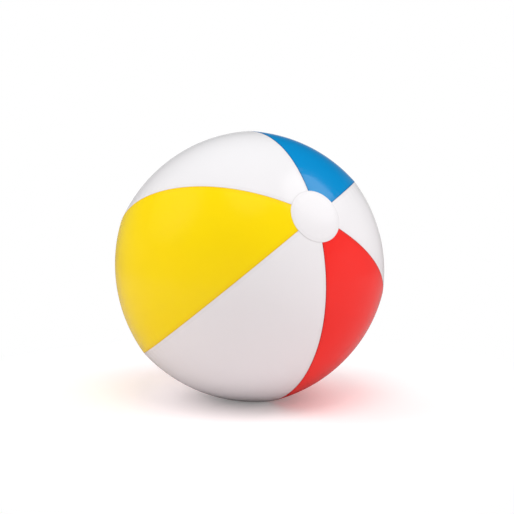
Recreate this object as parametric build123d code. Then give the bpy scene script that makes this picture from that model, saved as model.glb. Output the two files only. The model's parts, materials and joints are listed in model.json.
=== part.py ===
"""Inflatable beach ball: six welded film panels, two round end patches and a push-in air valve.

Lengths are in millimetres and angles in degrees. The row frame has +Z up and its origin in the
middle of the flat on which the ball rests. The ball's own axis runs through its two end patches:
the front patch faces -Y and upwards, and the rear patch, which holds the valve, faces +Y and down.
"""

from build123d import *
import os
from math import cos, pi, radians, sin, sqrt

# Driving dimensions of the ball
flat_length = 508.0     # end to end over one panel with the ball laid flat, the size it is sold by
film = 0.25             # thickness of the soft PVC film
panel_count = 6
lap = 5.0               # how far a white panel runs under the coloured one beside it, for the weld
lap_root = 2.0          # how far the lap's doubled film reaches back into the white panel
patch_r = 30.5          # end patch, measured square to the ball's axis
patch_lap = 6.0         # how far an end patch covers the panels' tips
rest_r = 22.0           # the flat on which the inflated film rests
tilt = 25.0             # how far the front pole points above the horizontal
seam_turn = 1.3         # the lowest seam's angle about the ball's axis from straight down

# Driving dimensions of the valve
bore_r = 3.0            # takes the nozzle of an ordinary air pump
stem_r = 4.6
stem_top = -1.3         # heights are above the rear patch's outer face
stem_foot = -14.2
seat_r = 5.4            # rim at the stem's inner end, on which the check flap closes
seat_height = 1.0
cup_r = 8.3             # inner radius of the flexible cup that the stem is pushed down into
cup_wall = 0.6
cup_straight = 8.4      # straight part of the cup's wall, above its rounded bottom
cup_corner_r = 3.0
collar_r = 10.3
collar_proud = 0.5      # how far the collar's rim stands above the rear patch
flange_r = 15.5         # welded under the rear patch
flange_height = 0.8
head_r = 4.8            # the plug's head
head_height = 1.4
shank_length = 5.5
shank_r = 2.95
shank_tip_r = 2.75
tab_width = 6.0         # the plug's finger tab
tab_reach = 7.9
tab_height = 1.0
strap_width = 3.2       # the tether between the plug and the stem
strap_height = 0.9
strap_reach = 7.4
ring_r = 5.5            # the tether's ring round the stem
ring_height = 1.4
ring_middle = -9.8
flap_r = 4.4            # the check flap inside the stem's inner end
flap_height = 0.5
hinge_out = 4.6         # how far the flap's living hinge is from the valve's axis
hinge_r = 0.3
hinge_width = 3.0
gap = 0.05              # clearance between valve pieces that move against each other

# Worked out from them
ball_r = flat_length / pi                   # two poles half a circumference apart
centre_height = sqrt(ball_r**2 - rest_r**2)
panel_angle = 360.0 / panel_count
first_seam = -90.0 + seam_turn
big = 4 * ball_r                            # cutters of this size reach past the whole ball

# The ball's own frame has +Z towards the front pole, and the valve's frame has +Z out of the valve.
ball_frame = Pos(0, 0, centre_height) * Rot(90.0 - tilt, 0, 0)
valve_frame = ball_frame * Pos(0, 0, -(ball_r + film)) * Rot(180, 0, 0)


def inflated(depth, turn):
    """The air-filled body whose surface lies depth inside the ball's, resting on its flat."""
    floor = Pos(0, 0, depth - big / 2) * Box(big, big, big)
    return ball_frame * Rot(0, 0, turn) * Sphere(ball_r - depth) - floor


def skin(outer_depth, inner_depth, turn=first_seam):
    """A layer of film between two depths. Its surfaces start at the angle turn."""
    return inflated(outer_depth, turn) - inflated(inner_depth, turn)


def rod(radius, low, high):
    """A cutter along the ball's own axis, between two heights in the ball's frame."""
    return ball_frame * Pos(0, 0, (low + high) / 2) * Cylinder(radius, high - low)


def wedge(number):
    """The space that belongs to one panel."""
    about_axis = (Align.NONE, Align.NONE, Align.CENTER)
    block = Cylinder(big / 2, big, arc_size=panel_angle, align=about_axis)
    return ball_frame * Rot(0, 0, first_seam + number * panel_angle) * block


def slab(seam, low, high):
    """A cutter along a seam, between two distances from the seam's plane, positive onwards."""
    block = Pos(big / 4, (low + high) / 2, 0) * Box(big / 2, high - low, big)
    return ball_frame * Rot(0, 0, first_seam + seam * panel_angle) * block


def panel(number):
    """One coloured panel: a single thickness of film from seam to seam."""
    return skin(0, film) & wedge(number) - rod(patch_r - patch_lap, -big / 2, big / 2)


def lapped_panel(number):
    """One white panel, with a doubled strip along each edge that runs under its neighbour."""
    inner = skin(film, 2 * film, turn=first_seam + panel_angle / 2)
    tip = rod(patch_r - patch_lap, -big / 2, big / 2)
    before = inner & slab(number, -lap, lap_root)
    after = inner & slab(number + 1, -lap_root, lap)
    return panel(number) + (before - tip) + (after - tip)


def end_patch(side, hole_r=0.0):
    """A round patch over the panels' tips, at the front end for side 1 and the rear for side -1."""
    film_line = Circle(ball_r + film) - Circle(ball_r)
    reach = Pos((hole_r + patch_r) / 2, side * big / 4) * Rectangle(patch_r - hole_r, big / 2)
    return ball_frame * revolve(Plane.XZ * (film_line & reach), axis=Axis.Z)


def turned(outline):
    """A ring or tube turned about the valve's axis. The outline is (radius, height) points."""
    face = make_face(Polyline(*outline, close=True))
    return revolve(Plane.XZ * face, axis=Axis.Z)


def valve_flange():
    """The ring welded under the rear patch, and the collar that stands up through its hole."""
    inner_r = cup_r + cup_wall
    rim = skin(0, flange_height) & rod(flange_r, -big / 2, 0) - rod(inner_r, -big / 2, 0)
    low = -(film + flange_height + 0.5)
    collar = turned([(inner_r, low), (collar_r, low), (collar_r, collar_proud), (inner_r, collar_proud)])
    rounded = fillet(collar.edges().group_by(Axis.Z)[-1], 0.4)
    return rim + valve_frame * rounded


def valve_cup():
    """The flexible cup that lets the stem be pushed in, turned from a wall of even thickness."""
    top = -cup_wall
    corner = top - cup_straight
    middle = cup_r - cup_corner_r
    foot_r = stem_r + 2 * gap
    with BuildPart() as cup:
        with BuildSketch(Plane.XZ):
            with BuildLine():
                Line((cup_r, top), (cup_r, corner))
                CenterArc((middle, corner), cup_corner_r, 0, -90)
                Line((middle, corner - cup_corner_r), (foot_r, corner - cup_corner_r))
                Line((foot_r, corner - cup_corner_r), (foot_r, corner - cup_corner_r - cup_wall))
                Line((foot_r, corner - cup_corner_r - cup_wall), (middle, corner - cup_corner_r - cup_wall))
                CenterArc((middle, corner), cup_corner_r + cup_wall, -90, 90)
                Line((cup_r + cup_wall, corner), (cup_r + cup_wall, top))
                Line((cup_r + cup_wall, top), (cup_r, top))
            make_face()
        revolve(axis=Axis.Z)
    return valve_frame * cup.part


def valve_stem():
    """The tube that a pump's nozzle or the lips go on, with the check flap's seat at its foot."""
    stem = turned([
        (bore_r, stem_foot), (seat_r, stem_foot), (seat_r, stem_foot + seat_height),
        (stem_r, stem_foot + seat_height), (stem_r, stem_top), (bore_r, stem_top),
    ])
    rounded = fillet(stem.edges().group_by(Axis.Z)[-1].sort_by(SortBy.RADIUS)[-1:], 0.4)
    return valve_frame * rounded


def tether_ring():
    """The tether's ring, which grips the stem."""
    low, high = ring_middle - ring_height / 2, ring_middle + ring_height / 2
    ring = turned([(stem_r, low), (ring_r, low), (ring_r, high), (stem_r, high)])
    outside = ring.edges().filter_by(GeomType.CIRCLE).sort_by(SortBy.RADIUS)[-2:]
    return valve_frame * fillet(outside, 0.3)


def tether_strap():
    """The flexible strap, bent down beside the stem, from the plug's head to the ring."""
    strap_top = stem_top + 2 * gap + head_height / 2
    start, stop = -(head_r + gap), -(ring_r + gap)
    route = FilletPolyline(
        (start, 0, strap_top), (-strap_reach, 0, strap_top),
        (-strap_reach, 0, ring_middle), (stop, 0, ring_middle), radius=1.7,
    )
    section = Plane((start, 0, strap_top), z_dir=(-1, 0, 0)) * Rectangle(strap_height, strap_width)
    return valve_frame * sweep(section, path=route)


def valve_plug():
    """The stopper: a shank in the stem's bore, a head, and a tab to pull it by."""
    under = stem_top + 2 * gap
    top = under + head_height
    plug = turned([
        (0, under - shank_length), (shank_tip_r - 0.4, under - shank_length),
        (shank_tip_r, under - shank_length + 0.6), (shank_r, under), (head_r, under), (head_r, top), (0, top),
    ])
    plug = fillet(plug.edges().group_by(Axis.Z)[-1], 0.5)
    tab_middle = under + head_height / 2
    tab = Pos(tab_reach / 2, 0, tab_middle) * Box(tab_reach, tab_width, tab_height)
    tab = fillet(tab.edges().filter_by(Axis.Z).group_by(Axis.X)[-1], 2.4)
    clear_of_head = Pos(0, 0, tab_middle) * Cylinder(head_r - 1.0, 2 * head_height)
    return valve_frame * (plug + (tab - clear_of_head))


def check_flap():
    """The disc that air pressure holds against the stem's foot, with a bead as its hinge."""
    top = stem_foot - gap
    disc = Pos(0, 0, top - flap_height / 2) * Cylinder(flap_r, flap_height)
    tongue = Pos(hinge_out / 2, 0, top - flap_height / 2) * Box(hinge_out, hinge_width, flap_height)
    bead = Pos(hinge_out, 0, top - hinge_r) * Rot(90, 0, 0) * Cylinder(hinge_r, hinge_width)
    return valve_frame * (disc + tongue + bead)


pieces = {
    "white_panel_lower": lapped_panel(5),
    "red_panel": panel(0),
    "white_panel_right": lapped_panel(1),
    "blue_panel": panel(2),
    "white_panel_upper": lapped_panel(3),
    "yellow_panel": panel(4),
    "front_end_patch": end_patch(1),
    "rear_end_patch": end_patch(-1, hole_r=collar_r + gap),
    "valve_flange": valve_flange(),
    "valve_cup": valve_cup(),
    "valve_stem": valve_stem(),
    "tether_ring": tether_ring(),
    "tether_strap": tether_strap(),
    "valve_plug": valve_plug(),
    "check_flap": check_flap(),
}

os.makedirs("parts", exist_ok=True)
for name, piece in pieces.items():
    piece.label = name
    export_step(piece, f"parts/{name}.step")

valve_axis = (0, cos(radians(tilt)), -sin(radians(tilt)))
print("ball radius", round(ball_r, 3), "centre height", round(centre_height, 3))
print("valve axis", [round(x, 6) for x in valve_axis])
print("valve face", [round(x, 4) for x in valve_frame.position])
hinge = valve_frame * Pos(hinge_out, 0, stem_foot - gap - hinge_r)
print("flap hinge", [round(x, 4) for x in hinge.position])
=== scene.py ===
# %% [markdown]
# # An inflatable beach ball
#
# A beach ball is a bag of thin soft PVC film blown up until it is tight. Six boat-shaped panels meet
# along six welded seams, a round patch closes each end, and a small push-in valve sits in the rear
# patch. The solids made in CAD give every piece its place and its name. Here each piece gets the
# shape and finish that the real film and mouldings have.

# %% Load the frame
import bmesh
import bpy
import json
from math import acos, asin, atan2, cos, hypot, pi, radians, sin, sqrt
from mathutils import Matrix, Vector


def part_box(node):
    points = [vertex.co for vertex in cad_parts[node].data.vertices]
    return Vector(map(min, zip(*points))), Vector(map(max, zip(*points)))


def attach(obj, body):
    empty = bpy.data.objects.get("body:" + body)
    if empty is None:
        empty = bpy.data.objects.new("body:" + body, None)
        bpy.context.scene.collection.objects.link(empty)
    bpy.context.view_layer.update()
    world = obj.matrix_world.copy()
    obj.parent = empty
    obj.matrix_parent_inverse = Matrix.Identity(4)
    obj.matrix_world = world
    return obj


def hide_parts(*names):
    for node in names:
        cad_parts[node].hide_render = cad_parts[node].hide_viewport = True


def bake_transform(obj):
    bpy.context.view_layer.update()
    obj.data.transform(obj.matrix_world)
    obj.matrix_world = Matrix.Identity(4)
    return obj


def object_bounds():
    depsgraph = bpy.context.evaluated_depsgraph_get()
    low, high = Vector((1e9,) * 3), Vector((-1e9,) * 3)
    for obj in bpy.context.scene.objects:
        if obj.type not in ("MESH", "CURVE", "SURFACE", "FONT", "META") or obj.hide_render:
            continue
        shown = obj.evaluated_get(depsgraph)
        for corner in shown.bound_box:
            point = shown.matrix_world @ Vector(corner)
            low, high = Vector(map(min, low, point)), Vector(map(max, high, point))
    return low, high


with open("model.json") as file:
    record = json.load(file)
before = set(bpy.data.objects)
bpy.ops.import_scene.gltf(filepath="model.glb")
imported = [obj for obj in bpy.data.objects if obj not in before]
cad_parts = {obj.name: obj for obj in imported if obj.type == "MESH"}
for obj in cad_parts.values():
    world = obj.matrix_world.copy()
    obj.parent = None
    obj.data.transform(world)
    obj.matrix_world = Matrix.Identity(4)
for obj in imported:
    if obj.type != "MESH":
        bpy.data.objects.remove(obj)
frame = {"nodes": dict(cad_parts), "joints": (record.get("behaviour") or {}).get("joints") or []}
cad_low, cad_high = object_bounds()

# %% [markdown]
# ## The ball's own frame
#
# The ball lies with its axis tilted. It could be modelled as it lies, with the tilt in every formula,
# but it is easier to model it in a frame of its own, whose Z axis runs out through the front end
# patch, and to turn the finished mesh into place. The valve slides along the ball's axis, so the
# slide joint says how the axis is tilted. The two end patches are mirror images through the ball's
# centre, so the middle of their boxes is that centre.

# %% Where the ball is and how it is turned
MM = 0.001
joint_axes = {joint["name"]: Vector(joint["axis"]).normalized() for joint in frame["joints"]}
front_axis = -joint_axes["stem_pull"]
corners = [corner for patch in ("front_end_patch", "rear_end_patch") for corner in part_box(patch)]
centre = sum(corners, Vector()) / len(corners)
across = Vector((1, 0, 0))
ball_frame = Matrix((across, front_axis.cross(across), front_axis)).transposed().to_4x4()
ball_frame.translation = centre
film_radius = (cad_high.x - cad_low.x) / 2
print("centre", [round(x, 4) for x in centre], "film radius", round(film_radius, 4))

# %% [markdown]
# ## The valve's frame
#
# The valve is modelled upright in a frame of its own too. It starts on the rear patch's outer face, one
# film above the ball, and its Z axis points out of the valve, so it is the ball's frame turned over.

# %% Where the valve is
film_gauge = 0.25 * MM
rear_face = Matrix.Translation((0, 0, -film_radius - film_gauge))
valve_frame = ball_frame @ rear_face @ Matrix.Rotation(pi, 4, "X")
print("valve at", [round(x, 4) for x in valve_frame.translation])

# %% [markdown]
# ## The shape that air gives the film
#
# Film stretches very little, so a ball made of six panels is not quite round. Across each panel it is
# a little flatter than a sphere, and the seams stand up as six soft ridges. The front end is
# pulled slightly flat, and where the ball rests the film lies flat on the ground. A simulation could
# blow the panels up, but the shape is known well enough to write down, and one function holds all of
# it, so that every panel and patch agrees about where the surface is.

# %% The film's surface
seam_radius = film_radius + 2.0 * MM
front_pole_radius = film_radius - 1.7 * MM
pole_sharpness = 6              # the higher, the nearer to the poles the flattening stays
ridge_height = 3.1 * MM         # from the middle of a panel up to its seams
ridge_sharpness = 3             # the higher, the sooner the ridges die away towards the poles
gore = radians(60)
lowest_seam = radians(-88.7)
ground_softness = 0.8 * MM      # how gently the film bends on to the ground


def film_point(direction, lift=0.0):
    """The point of the film in that direction from the ball's centre, raised by lift."""
    direction = direction.normalized()
    along = direction.z
    girth = hypot(direction.x, direction.y)
    pole = front_pole_radius if along > 0 else film_radius
    turn = (atan2(direction.y, direction.x) - lowest_seam) % gore / gore
    from_middle = abs(2 * turn - 1)
    radius = pole + (seam_radius - pole) * (1 - abs(along) ** pole_sharpness)
    radius -= ridge_height * girth ** ridge_sharpness * (1 - from_middle ** 2)
    point = ball_frame @ (direction * (radius + lift))
    point.z = (point.z + sqrt(point.z ** 2 + ground_softness ** 2)) / 2
    return point


middle_radius = seam_radius - ridge_height
print("seams at", round(seam_radius / MM, 1), "mm, panel middles at", round(middle_radius / MM, 1), "mm")

# %% [markdown]
# ## Helpers for every mesh
#
# A bmesh is Blender's editable mesh. When one is finished it becomes an object at the origin, with
# its place held in its vertices, and it is tied to the body it moves with, if it has one, while the
# solid it stands for is hidden. Smooth shading hides the small flat faces.

# %% Finish a bmesh as a piece of the ball
def finish_piece(bm, name, material, body, node, edge=None):
    """Turns bm into an object that rides on body. edge holds each vertex's distance in mm to a free edge."""
    mesh = bpy.data.meshes.new(name)
    for face in bm.faces:
        face.smooth = True
    bm.to_mesh(mesh)
    bm.free()
    mesh.materials.append(material)
    if edge:
        mesh.attributes.new("edge_mm", "FLOAT", "POINT").data.foreach_set("value", edge)
    piece = bpy.data.objects.new(name, mesh)
    bpy.context.scene.collection.objects.link(piece)
    if body:
        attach(piece, body)
    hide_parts(node)
    return piece


# %% [markdown]
# ## Sheets and their thickness
#
# Film and the valve's cup are sheets. Their thickness could be modelled as a second surface, but a
# Solidify modifier adds it evenly, and keeps it even where the sheet bends. It grows against the
# normals, so the faces of a sheet have to point outwards first. Recalculating the normals makes them
# agree with each other, but on an open sheet it can't know which side is out.

# %% Give a sheet its thickness
def thicken(piece, thickness):
    """Gives a sheet its gauge, inwards from the surface that was modelled."""
    wall = piece.modifiers.new("film gauge", "SOLIDIFY")
    wall.thickness = thickness
    wall.offset = -1


def finish_film(bm, node, material, edge):
    """Faces a sheet of film away from the ball's centre and makes it a piece of the envelope."""
    bmesh.ops.recalc_face_normals(bm, faces=bm.faces)
    if sum((face.calc_center_median() - centre).dot(face.normal) for face in bm.faces) < 0:
        bmesh.ops.reverse_faces(bm, faces=bm.faces)
    piece = finish_piece(bm, node + "_film", material, "envelope", node, edge)
    thicken(piece, film_gauge)
    return piece


# %% [markdown]
# ## Colours and helpers for nodes
#
# Colours are written as the hex values a designer would pick on a screen, and one function turns them
# into the linear values that Blender mixes light with. Another adds a node, sets it and links it in
# one line, which keeps each material short enough to read.

# %% Colour and node helpers
def linear(hex_colour):
    """The linear RGBA of an sRGB hex colour such as "#ff8800"."""
    parts = [int(hex_colour[i:i + 2], 16) / 255 for i in (1, 3, 5)]
    return (*[c / 12.92 if c <= 0.04045 else ((c + 0.055) / 1.055) ** 2.4 for c in parts], 1.0)


def new_material(name):
    """A material with no nodes yet, and its node tree."""
    material = bpy.data.materials.new(name)
    material.use_nodes = True
    material.node_tree.nodes.clear()
    return material, material.node_tree


def add(tree, kind, inputs=None, **settings):
    """Adds a node. inputs maps a socket's name or number to a value or to another node's output."""
    node = tree.nodes.new("ShaderNode" + kind)
    for key, value in settings.items():
        setattr(node, key, value)
    for key, value in (inputs or {}).items():
        if isinstance(value, bpy.types.NodeSocket):
            tree.links.new(value, node.inputs[key])
        else:
            node.inputs[key].default_value = value
    return node


# %% [markdown]
# ## The colour of soft PVC film
#
# The panels are plasticised PVC, coloured right through. One flat colour would look like paint: over a
# real roll the pigment is never perfectly even, and along the seams, where a heated bar has
# pressed two layers together, the colour is a shade deeper. Along the very edge a thin darker line is
# painted shade, standing for the shade at the step where the film ends. So three tones are mixed: one
# by a soft noise, the others by the distance to the piece's edge, which is stored on its vertices.

# %% Film colour
weld_width = 4.2                # mm
weld_softness = 0.4             # mm over which the weld's tone fades in, on each side
edge_shade_start, edge_shade_stop = 0.3, 1.3  # mm from the edge, over which its line of painted shade fades out
pigment_patch = 70 * MM         # how far across a patch of even pigment is
pigment_share = 0.16            # how far the tone goes towards the deep one in a patch
weld_share = 0.18               # and how much further in the weld
noise_low, noise_high = 0.15, 0.85      # the noise stays inside these, so no step shows where it ends


def weld_band(tree, edge):
    """1 in the pressed band beside a film's edge and 0 elsewhere."""
    return add(tree, "MapRange", {"Value": edge, "From Min": weld_width - weld_softness,
                                  "From Max": weld_width + weld_softness, "To Min": 1.0, "To Max": 0.0},
               interpolation_type="SMOOTHSTEP").outputs[0]


def film_colour(tree, place, edge, weld, face, deep, rim):
    """The colour face, going towards deep in soft patches and in the weld, and towards rim, a painted line of
    shade, at the piece's edge.
    """
    pigment = add(tree, "TexNoise", {"Vector": place, "Scale": 1 / pigment_patch, "Detail": 3.0,
                                     "Roughness": 0.5}).outputs["Fac"]
    patches = add(tree, "MapRange", {"Value": pigment, "From Min": noise_low, "From Max": noise_high,
                                     "To Min": 0.0, "To Max": pigment_share}).outputs[0]
    deeper = add(tree, "Math", {0: weld, 1: weld_share, 2: patches}, operation="MULTIPLY_ADD",
                 use_clamp=True).outputs[0]
    tone = add(tree, "Mix", {"Factor": deeper, "A": linear(face), "B": linear(deep)}, data_type="RGBA")
    # A thin line of painted shade along the piece's edge, in the colour rim.
    painted_edge_shade = add(tree, "MapRange", {"Value": edge, "From Min": edge_shade_start, "From Max": edge_shade_stop,
                                 "To Min": 1.0, "To Max": 0.0}, interpolation_type="SMOOTHSTEP").outputs[0]
    return add(tree, "Mix", {"Factor": painted_edge_shade, "A": tone.outputs["Result"], "B": linear(rim)},
               data_type="RGBA").outputs["Result"]


print("weld band", weld_width, "mm wide, pigment patches", round(pigment_patch / MM), "mm across")

# %% [markdown]
# ## The film's gloss and relief
#
# Film is rolled between polished rollers, which leaves it glossy with a very fine orange peel. Blowing
# the ball up adds long soft waves, and the welding bar prints fine ribs along each seam. All of them
# are too low to show in the outline, so instead of more mesh a Bump node tilts the shading by them.
# It takes their height in metres when its distance is 1. Handling leaves faint clouds in the gloss,
# and the pressed band is duller.

# %% Film gloss and relief
smooth, dull = 0.165, 0.195     # roughness of the film, from cloud to cloud
weld_dulling = 0.06
cloud_size = 40 * MM
peel_size, peel_height = 3 * MM, 0.0005 * MM
wave_size, wave_height = 45 * MM, 0.25 * MM
rib_pitch, rib_height = 1.6 * MM, 0.012 * MM        # real ribs are about half as far apart, too fine to show


def film_gloss(tree, place, weld):
    """The film's roughness."""
    clouds = add(tree, "TexNoise", {"Vector": place, "Scale": 1 / cloud_size, "Detail": 1.0,
                                    "Roughness": 0.4}).outputs["Fac"]
    gloss = add(tree, "MapRange", {"Value": clouds, "From Min": noise_low, "From Max": noise_high,
                                   "To Min": smooth, "To Max": dull}).outputs[0]
    return add(tree, "Math", {0: weld, 1: weld_dulling, 2: gloss}, operation="MULTIPLY_ADD").outputs[0]


def film_relief(tree, place, weld):
    """The film's normal. The V direction of its UV map runs along the seams, so the ribs are drawn by V."""
    peel = add(tree, "TexNoise", {"Vector": place, "Scale": 1 / peel_size, "Detail": 1.0, "Roughness": 0.5})
    waves = add(tree, "TexNoise", {"Vector": place, "Scale": 1 / wave_size, "Detail": 1.0, "Roughness": 0.4})
    along = add(tree, "SeparateXYZ", {"Vector": add(tree, "UVMap", uv_map="film").outputs["UV"]}).outputs["Y"]
    turns = add(tree, "Math", {0: along, 1: 2 * pi / rib_pitch}, operation="MULTIPLY").outputs[0]
    ribs = add(tree, "Math", {0: turns}, operation="SINE").outputs[0]
    relief = add(tree, "Math", {0: peel.outputs["Fac"], 1: peel_height}, operation="MULTIPLY").outputs[0]
    relief = add(tree, "Math", {0: waves.outputs["Fac"], 1: wave_height, 2: relief},
                 operation="MULTIPLY_ADD").outputs[0]
    pressed = add(tree, "Math", {0: ribs, 1: weld}, operation="MULTIPLY").outputs[0]
    relief = add(tree, "Math", {0: pressed, 1: rib_height, 2: relief}, operation="MULTIPLY_ADD").outputs[0]
    return add(tree, "Bump", {"Height": relief, "Distance": 1.0, "Strength": 1.0}).outputs["Normal"]


print("roughness", smooth, "to", dull, "and", weld_dulling, "more in the weld")

# %% [markdown]
# ## The four film materials
#
# The film is thin enough to glow a little with the light inside the ball, which is why its colours look
# deeper on the shaded side. Real transmission through a closed bag of film takes many bounces of
# light, so a small share of a translucent shader stands for it, in the colour that shines through.
# The rest is a glossy plastic.

# %% Film materials
film_ior = 1.4                  # soft PVC has about 1.5; a little less suits film that mirrors softly


def film_material(name, face, deep, rim, glow, glow_share):
    """PVC film. glow is the colour that shines through it, and the others are as in film_colour."""
    material, tree = new_material(name)
    place = add(tree, "TexCoord").outputs["Object"]
    edge = add(tree, "Attribute", attribute_name="edge_mm").outputs["Fac"]
    weld = weld_band(tree, edge)
    colour = film_colour(tree, place, edge, weld, face, deep, rim)
    gloss = film_gloss(tree, place, weld)
    normal = film_relief(tree, place, weld)
    skin = add(tree, "BsdfPrincipled", {"Base Color": colour, "Roughness": gloss, "IOR": film_ior,
                                        "Normal": normal})
    light_through = add(tree, "BsdfTranslucent", {"Color": linear(glow), "Normal": normal})
    mixed = add(tree, "MixShader", {0: glow_share, 1: skin.outputs[0], 2: light_through.outputs[0]})
    add(tree, "OutputMaterial", {"Surface": mixed.outputs[0]})
    return material


# Each film's third colour, its rim, is painted shade: the darker line along its edges.
white_film = film_material("white_pvc_film", "#edecee", "#e0dfe1", "#e3e1e3", "#f6eeee", 0.08)
yellow_film = film_material("yellow_pvc_film", "#ffe200", "#fbca00", "#efbe00", "#ff8c00", 0.10)
red_film = film_material("red_pvc_film", "#f62e28", "#e21f1a", "#b81612", "#ff1a10", 0.08)
blue_film = film_material("blue_pvc_film", "#008dce", "#007ebf", "#005c92", "#0078d0", 0.08)
print("film materials:", [m.name for m in bpy.data.materials if "film" in m.name])

# %% [markdown]
# ## A sheet spun from a single point
#
# Panels and patches are parts of a ball, which could be cut out of a ready-made UV sphere. Spinning gives
# rows and columns exactly where they are wanted, which keeps reflections on glossy film clean. One
# vertex is spun away from the Z axis to draw a line of longitude, and that line is spun round the axis.

# %% Spin a sheet, and ease between two values
def spin_sheet(inner, outer, rows, turn, columns, merge=False):
    """A sheet on the unit sphere between two angles from the Z axis, spun by turn round that axis."""
    bm = bmesh.new()
    start = bm.verts.new((sin(inner), 0, cos(inner)))
    bmesh.ops.spin(bm, geom=[start], cent=(0, 0, 0), axis=(0, 1, 0), angle=outer - inner, steps=rows)
    bmesh.ops.spin(bm, geom=bm.verts[:] + bm.edges[:], cent=(0, 0, 0), axis=(0, 0, 1), angle=turn,
                   steps=columns, use_merge=merge)
    bmesh.ops.remove_doubles(bm, verts=bm.verts, dist=1e-6)
    return bm


def soft_step(value, start, stop):
    """0 before start, 1 after stop and a smooth ramp between them."""
    t = min(max((value - start) / (stop - start), 0.0), 1.0)
    return t * t * (3 - 2 * t)


# %% [markdown]
# ## The panels
#
# A panel is the slice of the ball between two seams. Its columns are crowded towards the seams, where the
# weld's detail is, and each vertex is then moved out to the film's surface. Beside a weld the
# film is crimped a little, because flat film has been pulled round a curve there.
#
# The white panels are cut wider than the coloured ones. Their extra 5 mm dips under the neighbour
# and is welded there, so a coloured edge always lies on top and looks crisp.

# %% Panel mesh
rows, columns = 240, 64
slice_turn = 2.0                # radians, so that a column's share of the width runs from -1 to 1
crowding = 1.8                  # the higher, the closer the columns stand at the seams
lap = 5.0 * MM
tip_radius = 24.5 * MM          # the tips end here, under the end patches
pucker_pitch = 11.0 * MM        # soft crimps that the weld leaves in the film beside it
pucker_height = 0.07 * MM
pucker_reach, pucker_full = 16, 3       # mm from the seam where the crimps begin and where they are full
pucker_end, pucker_fade = -1.0, 3.5     # mm from the seam between which they die out again
edge_dip = 0.30 * MM            # how far a white edge sinks to pass under a coloured one
dip_width = 1.1                 # mm
weld_depth = 0.05 * MM          # how far the bar presses a coloured edge in
weld_step = (-weld_width - 0.5, -weld_width + 0.3)      # mm from the seam, where that begins and is full


def spread_column(share):
    """Where a column lies across the panel, from -1 to 1, so that columns crowd at both edges."""
    side = 1 if share > 0 else -1
    return side * (1 - max(1 - abs(share), 0.0) ** crowding)


def panel_lift(to_seam, along, number, overlaps):
    """How far the film stands off its smooth surface, to_seam mm from the seam."""
    lift = pucker_height * sin(2 * pi * along / pucker_pitch + number)
    lift *= soft_step(-to_seam, -pucker_reach, -pucker_full) * soft_step(to_seam, pucker_end, pucker_fade)
    if overlaps:
        return lift - edge_dip * soft_step(-to_seam, -dip_width, 0.0)
    return lift - weld_depth * soft_step(-to_seam, *weld_step)


def make_panel(name, number, material, overlaps):
    """Panel by its number round the ball from the lowest seam. overlaps is the lap under each neighbour."""
    tip = asin(tip_radius / film_radius)
    bm = spin_sheet(tip, pi - tip, rows, slice_turn, columns)
    middle = lowest_seam + (number + 0.5) * gore
    flat_place, edge = {}, []
    for vert in bm.verts:
        girth = hypot(vert.co.x, vert.co.y)
        share = atan2(vert.co.y, vert.co.x) - slice_turn / 2
        half_width = gore / 2 * girth * seam_radius + overlaps
        sideways = spread_column(share) * half_width
        turn = middle + sideways / (girth * seam_radius)
        to_seam = (half_width - overlaps - abs(sideways)) / MM
        along = acos(max(-1, min(1, vert.co.z))) * seam_radius
        flat_place[vert] = (sideways, along)
        edge.append(max(to_seam, 0.0))
        direction = Vector((girth * cos(turn), girth * sin(turn), vert.co.z))
        vert.co = film_point(direction, panel_lift(to_seam, along, number, overlaps))
    uv = bm.loops.layers.uv.new("film")
    for face in bm.faces:
        for loop in face.loops:
            loop[uv].uv = flat_place[loop.vert]
    return finish_film(bm, name, material, edge)


panels = [
    make_panel("red_panel", 0, red_film, 0.0),
    make_panel("white_panel_right", 1, white_film, lap),
    make_panel("blue_panel", 2, blue_film, 0.0),
    make_panel("white_panel_upper", 3, white_film, lap),
    make_panel("yellow_panel", 4, yellow_film, 0.0),
    make_panel("white_panel_lower", 5, white_film, lap),
]
print("panels:", [(p.name, len(p.data.vertices)) for p in panels])

# %% [markdown]
# ## The end patches
#
# Where six tips meet there is no way to make a tidy point, so a round patch of white film is welded
# over them. It is a sheet like a panel, spun all the way round. The round bar that welds it presses
# a ring near its rim, and leaves soft crimps inside that ring. The rear patch has a hole for the
# valve, and shows the valve's flange, welded beneath it, as a low step round the hole.

# %% End patch meshes
patch_rows, patch_columns = 60, 144
patch_radius = 30.5 * MM
valve_hole = 10.4 * MM
patch_stand_off = film_gauge + 0.02 * MM        # it lies on the tips with a hair between
ring_depth = 0.06 * MM          # how far the round bar presses the rim in
ring_step = (-weld_width - 0.6, -weld_width + 0.4)      # mm from the rim, where that begins and is full
crimps, crimp_height = 17, 0.05 * MM
crimp_start, crimp_full, crimp_fade, crimp_end = 11, 6, 6, 3.5      # mm from the rim, going outwards
flange_radius = 15.5 * MM
flange_step = 0.10 * MM         # the step that the flange raises in the film over it, 1 mm wide


def patch_lift(from_axis, turn, side):
    """How far the patch stands off the ball's surface."""
    to_rim = (patch_radius - from_axis) / MM
    lift = patch_stand_off - ring_depth * soft_step(-to_rim, *ring_step)
    crimp = soft_step(-to_rim, -crimp_start, -crimp_full) * soft_step(to_rim, crimp_end, crimp_fade)
    lift += crimp_height * sin(turn * crimps) * crimp
    if side < 0:
        lift += flange_step * soft_step((flange_radius - from_axis) / MM, -0.5, 0.5)
    return lift


def unroll_patch(bm, flat_place):
    """Gives the patch its UV map: U out from the axis and V round it, with a whole number of ribs."""
    ribs_round = round(2 * pi * patch_radius / rib_pitch)
    uv = bm.loops.layers.uv.new("film")
    for face in bm.faces:
        turns = [flat_place[vert][1] for vert in face.verts]
        crosses_back = max(turns) - min(turns) > pi
        for loop in face.loops:
            from_axis, turn = flat_place[loop.vert]
            if crosses_back and turn < 0:
                turn += 2 * pi
            loop[uv].uv = (from_axis, turn / (2 * pi) * ribs_round * rib_pitch)


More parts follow.
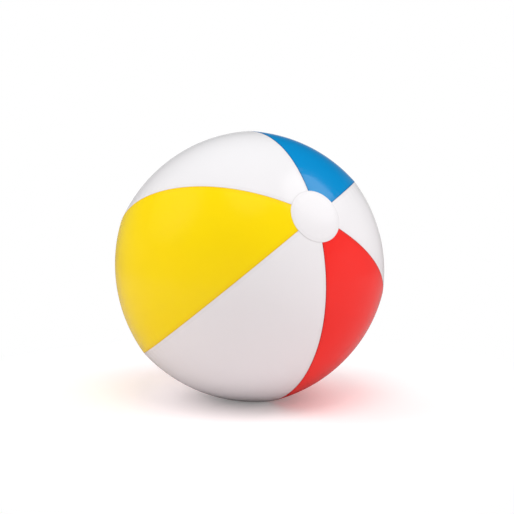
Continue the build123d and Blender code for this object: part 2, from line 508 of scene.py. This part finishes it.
def make_patch(name, side, hole_radius):
    """side is 1 for the front end and -1 for the rear."""
    inner, outer = asin(hole_radius / film_radius), asin(patch_radius / film_radius)
    bm = spin_sheet(inner, outer, patch_rows, 2 * pi, patch_columns, merge=True)
    flat_place, edge = {}, []
    for vert in bm.verts:
        from_axis = hypot(vert.co.x, vert.co.y) * film_radius
        turn = atan2(vert.co.y, vert.co.x)
        flat_place[vert] = (from_axis, turn)
        edge.append(max((patch_radius - from_axis) / MM, 0.0))
        direction = Vector((vert.co.x, vert.co.y, vert.co.z * side))
        vert.co = film_point(direction, patch_lift(from_axis, turn, side))
    unroll_patch(bm, flat_place)
    return finish_film(bm, name, white_film, edge)


patches = [make_patch("front_end_patch", 1, 0.0), make_patch("rear_end_patch", -1, valve_hole)]
print("patches:", [(p.name, len(p.data.vertices)) for p in patches])

# %% [markdown]
# ## Soft PVC mouldings for the valve
#
# The valve is injection-moulded from soft, milky clear PVC. Light goes a little way into it and comes
# back out, so thin edges look bright and the mass looks waxy rather than painted. Real transmission
# would show that too, but is slow and noisy at this size, so subsurface scattering gives the waxy
# depth, with a radius of about a millimetre for a wall this thin. Moulding in a spark-eroded tool
# leaves a fine satin grain, drawn by a Bump node and by small changes in roughness.

# %% Valve materials
flow_size = 6 * MM              # the milkiness drifts where the melt flowed
grain_size, grain_depth = 0.4 * MM, 0.01 * MM
satin_spread = 0.05             # of roughness, up and down
moulded_ior = 1.5
scatter = (1.0, 0.9, 0.8)       # red goes furthest into milky PVC
scatter_share, scatter_depth = 0.35, 1.0 * MM


def moulded_material(name, face, shade, roughness):
    """Milky soft PVC, shade being the tone in its thicker places."""
    material, tree = new_material(name)
    place = add(tree, "TexCoord").outputs["Object"]
    flow = add(tree, "TexNoise", {"Vector": place, "Scale": 1 / flow_size, "Detail": 2.0, "Roughness": 0.5})
    mix = add(tree, "MapRange", {"Value": flow.outputs["Fac"], "From Min": 0.35, "From Max": 0.65})
    colour = add(tree, "Mix", {"Factor": mix.outputs[0], "A": linear(face), "B": linear(shade)},
                 data_type="RGBA")
    grain = add(tree, "TexNoise", {"Vector": place, "Scale": 1 / grain_size, "Detail": 2.0, "Roughness": 0.6})
    satin = add(tree, "MapRange", {"Value": grain.outputs["Fac"], "From Min": 0.3, "From Max": 0.7,
                                   "To Min": roughness - satin_spread, "To Max": roughness + satin_spread})
    normal = add(tree, "Bump", {"Height": grain.outputs["Fac"], "Distance": grain_depth, "Strength": 1.0})
    body = add(tree, "BsdfPrincipled", {
        "Base Color": colour.outputs["Result"], "Roughness": satin.outputs[0], "IOR": moulded_ior,
        "Subsurface Weight": scatter_share, "Subsurface Radius": scatter, "Subsurface Scale": scatter_depth,
        "Normal": normal.outputs["Normal"]})
    add(tree, "OutputMaterial", {"Surface": body.outputs[0]})
    return material


valve_plastic = moulded_material("milky_moulded_pvc", "#eef0f0", "#dfe4e6", 0.38)
plug_plastic = moulded_material("milky_moulded_pvc_plug", "#f4f5f4", "#e6eaeb", 0.34)
print("valve materials:", valve_plastic.name, "and", plug_plastic.name)

# %% [markdown]
# ## The valve's fixed mouldings
#
# The flange with its collar, the stem, the tether's ring and the check flap are small plain shapes.
# They were modelled in CAD at their true size, so there is nothing to gain by making them again:
# their solids stay and take the moulded finish.

# %% Valve pieces kept from CAD
for node in ("valve_flange", "valve_stem", "tether_ring", "check_flap"):
    solid = frame["nodes"][node]
    solid.data.materials.clear()
    solid.data.materials.append(valve_plastic)
    low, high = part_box(node)
    print(node, "keeps its solid,", [round(x / MM, 1) for x in high - low], "mm")

# %% [markdown]
# ## Turned shapes
#
# The cup and the plug are round, so their outlines are spun about the valve's axis, as a lathe would
# turn them. An outline is a few points joined by edges, and its corners are rounded with a bevel
# before it is spun, which rounds them all the way round for the price of a few vertices. A full
# spin merges its last copy with its first, and points that lie on the axis are merged afterwards.

# %% Spin an outline
turned_steps = 72
on_axis = 1e-6                  # metres; closer than this to the axis, a point isn't a corner


def add_rings(bm, spacing):
    """Cuts every edge that is longer than spacing into equal parts, so that the wall can bend there."""
    for edge in bm.edges[:]:
        cuts = int(edge.calc_length() / (spacing * MM))
        if cuts > 0:
            bmesh.ops.subdivide_edges(bm, edges=[edge], cuts=cuts)


def turn_outline(outline, rounding, segments=4, ring_spacing=None):
    """A bmesh turned about Z from (radius, height) points in mm, its corners rounded by rounding mm."""
    bm = bmesh.new()
    line = [bm.verts.new((radius * MM, 0, height * MM)) for radius, height in outline]
    for first, second in zip(line, line[1:]):
        bm.edges.new((first, second))
    corners = [vert for vert in line if len(vert.link_edges) == 2 and vert.co.x > on_axis]
    bmesh.ops.bevel(bm, geom=corners, offset=rounding * MM, offset_type="OFFSET", segments=segments,
                    profile=0.5, affect="VERTICES", clamp_overlap=True, material=-1)
    if ring_spacing:
        add_rings(bm, ring_spacing)
    bmesh.ops.spin(bm, geom=bm.verts[:] + bm.edges[:], cent=(0, 0, 0), axis=(0, 0, 1), angle=2 * pi,
                   steps=turned_steps, use_merge=True)
    bmesh.ops.remove_doubles(bm, verts=bm.verts, dist=1e-7)
    bmesh.ops.recalc_face_normals(bm, faces=bm.faces)
    return bm


# %% [markdown]
# ## The flexible cup
#
# The cup is one thin wall turned round the valve, hanging from the collar and rounded in to the
# stem's foot. When the stem is pulled out, the wall rolls out with it. Shape keys, an armature or a
# blend could do that; here the mesh is only cut into many rings, which give the wall places to bend.

# %% Valve cup
cup_wall = 0.6
cup_outline = [(8.88, -0.65), (8.88, -12.6), (4.7, -12.6)]


bm = turn_outline(cup_outline, rounding=3.6, segments=10, ring_spacing=0.7)
outermost = max(bm.faces, key=lambda face: face.calc_center_median().xy.length)
if outermost.normal.xy.dot(outermost.calc_center_median().xy) < 0:
    bmesh.ops.reverse_faces(bm, faces=bm.faces)
bmesh.ops.transform(bm, matrix=valve_frame, verts=bm.verts)
cup = finish_piece(bm, "valve_cup_wall", valve_plastic, None, "valve_cup")
thicken(cup, cup_wall * MM)
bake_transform(cup)
print("cup rings", len(cup.data.vertices) // turned_steps)

# %% [markdown]
# ## A block with rounded edges
#
# The plug's tab and its grip bars are flat blocks. A cube is scaled and moved into place, its outer
# upright corners are rounded with a large bevel if it has them, and then every sharp edge with a
# small one. Rounding in that order lets the small bevel run cleanly round the large one.

# %% Add a block
sharp_edge = radians(50)


def add_block(bm, low, high, corner, rounding):
    """A block between two corners in mm. corner rounds its outer upright edges and rounding the rest."""
    made = bmesh.ops.create_cube(bm, size=1.0)["verts"]
    size = [(high[i] - low[i]) * MM for i in range(3)]
    middle = [(high[i] + low[i]) / 2 * MM for i in range(3)]
    bmesh.ops.scale(bm, vec=size, verts=made)
    bmesh.ops.translate(bm, vec=middle, verts=made)
    edges = {edge for vert in made for edge in vert.link_edges}
    if corner:
        outer = [e for e in edges if all(v.co.x > middle[0] for v in e.verts)
                 and abs(e.verts[0].co.z - e.verts[1].co.z) > size[2] / 2]
        rounded = bmesh.ops.bevel(bm, geom=outer, offset=corner * MM, offset_type="OFFSET", segments=8,
                                  profile=0.5, affect="EDGES", clamp_overlap=True, material=-1)
        edges = {e for e in edges if e.is_valid} | set(rounded["edges"])
    rim = [e for e in edges if e.is_valid and len(e.link_faces) == 2 and e.calc_face_angle() > sharp_edge]
    bmesh.ops.bevel(bm, geom=rim, offset=rounding * MM, offset_type="OFFSET", segments=3, profile=0.5,
                    affect="EDGES", clamp_overlap=True, material=-1)


# %% [markdown]
# ## The plug
#
# The plug is a turned stopper with a tab to pull it by. Its shank has two low ribs that grip the
# bore, and its head is dished so that it can be pushed home with a fingertip. Three bars across the
# tab keep wet fingers from slipping. The parts simply sink into each other, as they are one moulding
# and only their outside shows, which saves joining them with booleans.

# %% Valve plug
plug_outline = [(0, -6.7), (2.3, -6.7), (2.72, -6.0), (2.72, -4.7), (2.96, -4.35), (2.72, -4.0), (2.72, -3.0),
                (2.96, -2.65), (2.72, -2.3), (2.80, -1.2), (4.8, -1.2), (4.8, 0.2), (3.7, 0.32), (3.2, 0.05),
                (0, 0.0)]
bar_places = (5.6, 6.3, 7.0)    # mm from the axis

bm = turn_outline(plug_outline, rounding=0.16)
add_block(bm, (3.6, -3.0, -1.0), (7.9, 3.0, 0.0), corner=2.4, rounding=0.28)
for bar in bar_places:
    add_block(bm, (bar - 0.2, -1.9, -0.3), (bar + 0.2, 1.9, 0.18), corner=0, rounding=0.14)
bmesh.ops.transform(bm, matrix=valve_frame, verts=bm.verts)
plug = finish_piece(bm, "valve_plug_moulding", plug_plastic, "valve_plug", "valve_plug")
print("plug vertices", len(plug.data.vertices))

# %% [markdown]
# ## The tether's route
#
# A flat strap ties the plug to the ring round the stem. It runs out from the plug's head, round a
# bend, down beside the stem and round a second bend to the ring. A curve object could follow that
# route, but a strap has a width that must not twist, so one function says where each point
# along it goes, straight by straight and bend by bend.

# %% Where the strap runs
strap_width, strap_height = 3.2, 0.9
head_edge, strap_reach, ring_edge = -4.7, -7.4, -5.4
strap_top, ring_height = -0.5, -9.8
bend = 1.7
run_out = abs(strap_reach - head_edge) - bend
run_down = strap_top - ring_height - 2 * bend
run_back = abs(strap_reach - ring_edge) - bend
quarter = bend * pi / 2
strap_length = run_out + run_down + run_back + 2 * quarter


def strap_place(along, rise):
    """X and Z of a point in mm. along runs down the strap's middle, and rise is outwards from it."""
    if along < run_out:
        return head_edge - along, strap_top + rise
    along -= run_out
    if along < quarter:
        turn = along / bend
        return strap_reach + bend - (bend + rise) * sin(turn), strap_top - bend + (bend + rise) * cos(turn)
    along -= quarter
    if along < run_down:
        return strap_reach - rise, strap_top - bend - along
    along -= run_down
    if along < quarter:
        turn = along / bend
        return strap_reach + bend - (bend + rise) * cos(turn), ring_height + bend - (bend + rise) * sin(turn)
    along -= quarter
    return strap_reach + bend + along, ring_height - rise


print("strap", round(strap_length, 1), "mm long")

# %% [markdown]
# ## The tether strap
#
# The strap's section is a small rectangle with rounded corners. It is pushed out step by step into a
# straight bar, and the bar is then laid along its route, a little narrower in the middle as such
# straps are. Each step's old end face is deleted, or it would be left inside the bar. The many
# steps give the strap rings where it could bend.

# %% Tether strap
strap_steps = 48
waist = 0.18                    # how much narrower it is in the middle

bm = bmesh.new()
bmesh.ops.create_grid(bm, x_segments=1, y_segments=1, size=0.5)
bmesh.ops.scale(bm, vec=(strap_width, strap_height, 1), verts=bm.verts)
bmesh.ops.bevel(bm, geom=bm.verts[:], offset=0.3, offset_type="OFFSET", segments=4, profile=0.5,
                affect="VERTICES", clamp_overlap=True, material=-1)
front = bm.faces[:]
for step in range(strap_steps):
    grown = bmesh.ops.extrude_face_region(bm, geom=front)["geom"]
    if step > 0:
        bmesh.ops.delete(bm, geom=front, context="FACES_ONLY")
    front = [item for item in grown if isinstance(item, bmesh.types.BMFace)]
    moved = [item for item in grown if isinstance(item, bmesh.types.BMVert)]
    bmesh.ops.translate(bm, vec=(0, 0, strap_length / strap_steps), verts=moved)
for vert in bm.verts:
    narrow = 1 - waist * sin(pi * vert.co.z / strap_length)
    x, z = strap_place(vert.co.z, vert.co.y)
    vert.co = Vector((x, vert.co.x * narrow, z)) * MM
bmesh.ops.recalc_face_normals(bm, faces=bm.faces)
bmesh.ops.transform(bm, matrix=valve_frame, verts=bm.verts)
strap = finish_piece(bm, "tether_strap_moulding", valve_plastic, None, "tether_strap")
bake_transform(strap)
print("strap vertices", len(strap.data.vertices))

# %% [markdown]
# ## The camera
#
# The ball is seen from a little above and from the left of its front, through a long lens, which keeps
# a round thing from looking stretched. A Track To constraint could aim the camera, but its three
# directions are worked out here, because the lamps and the backdrop are placed by them too. It aims
# a little above and to the right of the ball's centre, so the ball stands slightly low and left.

# %% Camera
eye_turn, eye_rise = radians(-30.0), radians(5.5)
eye_distance = 7.2 * film_radius
aim_right, aim_up = 9.36 * MM, 11.91 * MM
back = Vector((sin(eye_turn) * cos(eye_rise), -cos(eye_turn) * cos(eye_rise), sin(eye_rise)))
right = Vector((0, 0, 1)).cross(back).normalized()
up = back.cross(right)

camera_data = bpy.data.cameras.new("camera")
camera_data.sensor_width = 36
camera_data.lens = 67.07
camera = bpy.data.objects.new("camera", camera_data)
camera.location = centre + back * eye_distance
aim = centre + right * aim_right + up * aim_up
camera.rotation_mode = "QUATERNION"
camera.rotation_quaternion = (aim - camera.location).to_track_quat("-Z", "Y")
scene = bpy.context.scene
scene.collection.objects.link(camera)
scene.camera = camera
scene.view_settings.view_transform = "Standard"
print("camera", [round(x, 3) for x in camera.location], "lens", round(camera_data.lens, 1), "mm")

# %% [markdown]
# ## The surroundings
#
# The ball stands on pure white. A white room would do that, but glossy film mirrors a white room all
# over and turns milky, which is why such things are shot with dark cards just out of view. The
# Light Path node tells the rays apart: the camera sees white, mirrored rays see dim walls, a little
# brighter near the ground, and a bright backdrop straight behind the ball, which lights its rim. All
# other rays see one plain level, which lights the ball evenly from all round.

# %% World
plain_level = 0.61
wall_low, wall_high = 0.27, 0.015       # the walls' levels at the horizon and from wall_top up
wall_top = 0.5                          # height on the unit sphere round the ball
backdrop_level, backdrop_edge = 0.9, -0.90      # facing is -1 straight behind the ball


def seen_directly(tree, rays):
    """1 for rays that come straight from the camera, or through something, and 0 for the rest."""
    return add(tree, "Math", {0: rays["Is Camera Ray"], 1: rays["Is Transmission Ray"]},
               operation="MAXIMUM").outputs[0]


world = bpy.data.worlds.new("white surround")
world.use_nodes = True
tree = world.node_tree
tree.nodes.clear()
rays = add(tree, "LightPath").outputs
direction = add(tree, "TexCoord").outputs["Generated"]
height = add(tree, "SeparateXYZ", {"Vector": direction}).outputs["Z"]
walls = add(tree, "MapRange", {"Value": height, "From Min": 0.0, "From Max": wall_top, "To Min": wall_low,
                               "To Max": wall_high}, interpolation_type="SMOOTHSTEP").outputs[0]
facing = add(tree, "VectorMath", {0: direction, 1: back}, operation="DOT_PRODUCT").outputs["Value"]
backdrop = add(tree, "MapRange", {"Value": facing, "From Min": -1.0, "From Max": backdrop_edge,
                                  "To Min": backdrop_level, "To Max": 0.0},
               interpolation_type="SMOOTHSTEP").outputs[0]
mirrored = add(tree, "Math", {0: walls, 1: backdrop}, operation="MAXIMUM").outputs[0]
level = add(tree, "Mix", {"Factor": rays["Is Glossy Ray"], "A": plain_level, "B": mirrored})
level = add(tree, "Mix", {"Factor": seen_directly(tree, rays), "A": level.outputs["Result"], "B": 1.0})
surround = add(tree, "Background", {"Color": (1, 1, 1, 1), "Strength": level.outputs["Result"]})
add(tree, "OutputWorld", {"Surface": surround.outputs[0]})
scene.world = world
print("plain level", plain_level, "walls", wall_low, "to", wall_high, "backdrop", backdrop_level)

# %% [markdown]
# ## The paper on the floor
#
# The floor is matt white paper. Real paper is swept up behind the thing on show, so that no horizon can
# be seen. Here it stays flat and turns into the same even white as the surround a short way from
# the ball's foot, which keeps the contact shadow and the coloured light that the ball throws on the
# paper. A faint glow for the camera keeps that shadow light, and mirrored rays see a dimmer paper.

# %% Floor paper
fade_start, fade_stop = 0.18, 0.45      # metres from under the ball's centre
shadow_glow = 0.18
paper_white, paper_mirrored = "#f7eded", "#b0a8a8"

paper, tree = new_material("pale_floor_paper")
rays = add(tree, "LightPath").outputs
seen = seen_directly(tree, rays)
place = add(tree, "TexCoord").outputs["Object"]
distance = add(tree, "VectorMath", {0: place}, operation="LENGTH").outputs["Value"]
fade = add(tree, "MapRange", {"Value": distance, "From Min": fade_start, "From Max": fade_stop},
           interpolation_type="SMOOTHSTEP").outputs[0]
white_share = add(tree, "Math", {0: seen, 1: fade}, operation="MULTIPLY").outputs[0]
colour = add(tree, "Mix", {"Factor": rays["Is Glossy Ray"], "A": linear(paper_white),
                           "B": linear(paper_mirrored)}, data_type="RGBA").outputs["Result"]
matt = add(tree, "BsdfDiffuse", {"Color": colour})
glow = add(tree, "Math", {0: seen, 1: shadow_glow}, operation="MULTIPLY").outputs[0]
lift = add(tree, "Emission", {"Strength": glow})
lit = add(tree, "AddShader", {0: matt.outputs[0], 1: lift.outputs[0]})
white = add(tree, "Emission", {"Strength": 1.0})
mixed = add(tree, "MixShader", {0: white_share, 1: lit.outputs[0], 2: white.outputs[0]})
add(tree, "OutputMaterial", {"Surface": mixed.outputs[0]})
print("paper turns white from", fade_start, "to", fade_stop, "m")

# %% [markdown]
# ## The floor
#
# A disc has no corners that could show, and is large enough to reach past every view.

# %% Floor
bm = bmesh.new()
bmesh.ops.create_circle(bm, cap_ends=True, segments=96, radius=6.0)
mesh = bpy.data.meshes.new("floor")
bm.to_mesh(mesh)
bm.free()
mesh.materials.append(paper)
floor = bpy.data.objects.new("floor", mesh)
scene.collection.objects.link(floor)
print("floor is", round(floor.dimensions.x, 1), "m across")

# %% [markdown]
# ## The lamps
#
# One round softbox above and to the right gives the soft highlights that say the film is glossy. The
# shaded sides need light too. More softboxes would leave a highlight each, and one highlight says more
# about a round shape than four, so the three fills light the ball without being mirrored in it.

# %% Lamps
def soft_lamp(name, size, power, direction, distance, shines=True):
    """A round softbox that far from the ball's centre, aimed at it. shines says if the film mirrors it."""
    lamp = bpy.data.lights.new(name, "AREA")
    lamp.shape = "DISK"
    lamp.size = size
    lamp.energy = power
    holder = bpy.data.objects.new(name, lamp)
    holder.location = centre + Vector(direction).normalized() * distance
    holder.rotation_mode = "QUATERNION"
    holder.rotation_quaternion = (centre - holder.location).to_track_quat("-Z", "Y")
    holder.visible_camera = False
    holder.visible_glossy = shines
    scene.collection.objects.link(holder)
    print(name, round(power, 1), "W,", round(distance, 1), "m away")


soft_lamp("key softbox", 1.0, 5.6, right * 0.66 + up * 0.73 + back * 0.18, 1.5)
soft_lamp("side fill", 1.2, 7.8, right * -0.8 + up * 0.6 + back * 0.15, 1.5, shines=False)
soft_lamp("front fill", 1.2, 12.2, right * 0.05 + up * 0.85 + back * 0.52, 2.0, shines=False)
soft_lamp("right fill", 1.2, 7.3, right * 0.9 + up * -0.02 + back * 0.1, 1.8, shines=False)
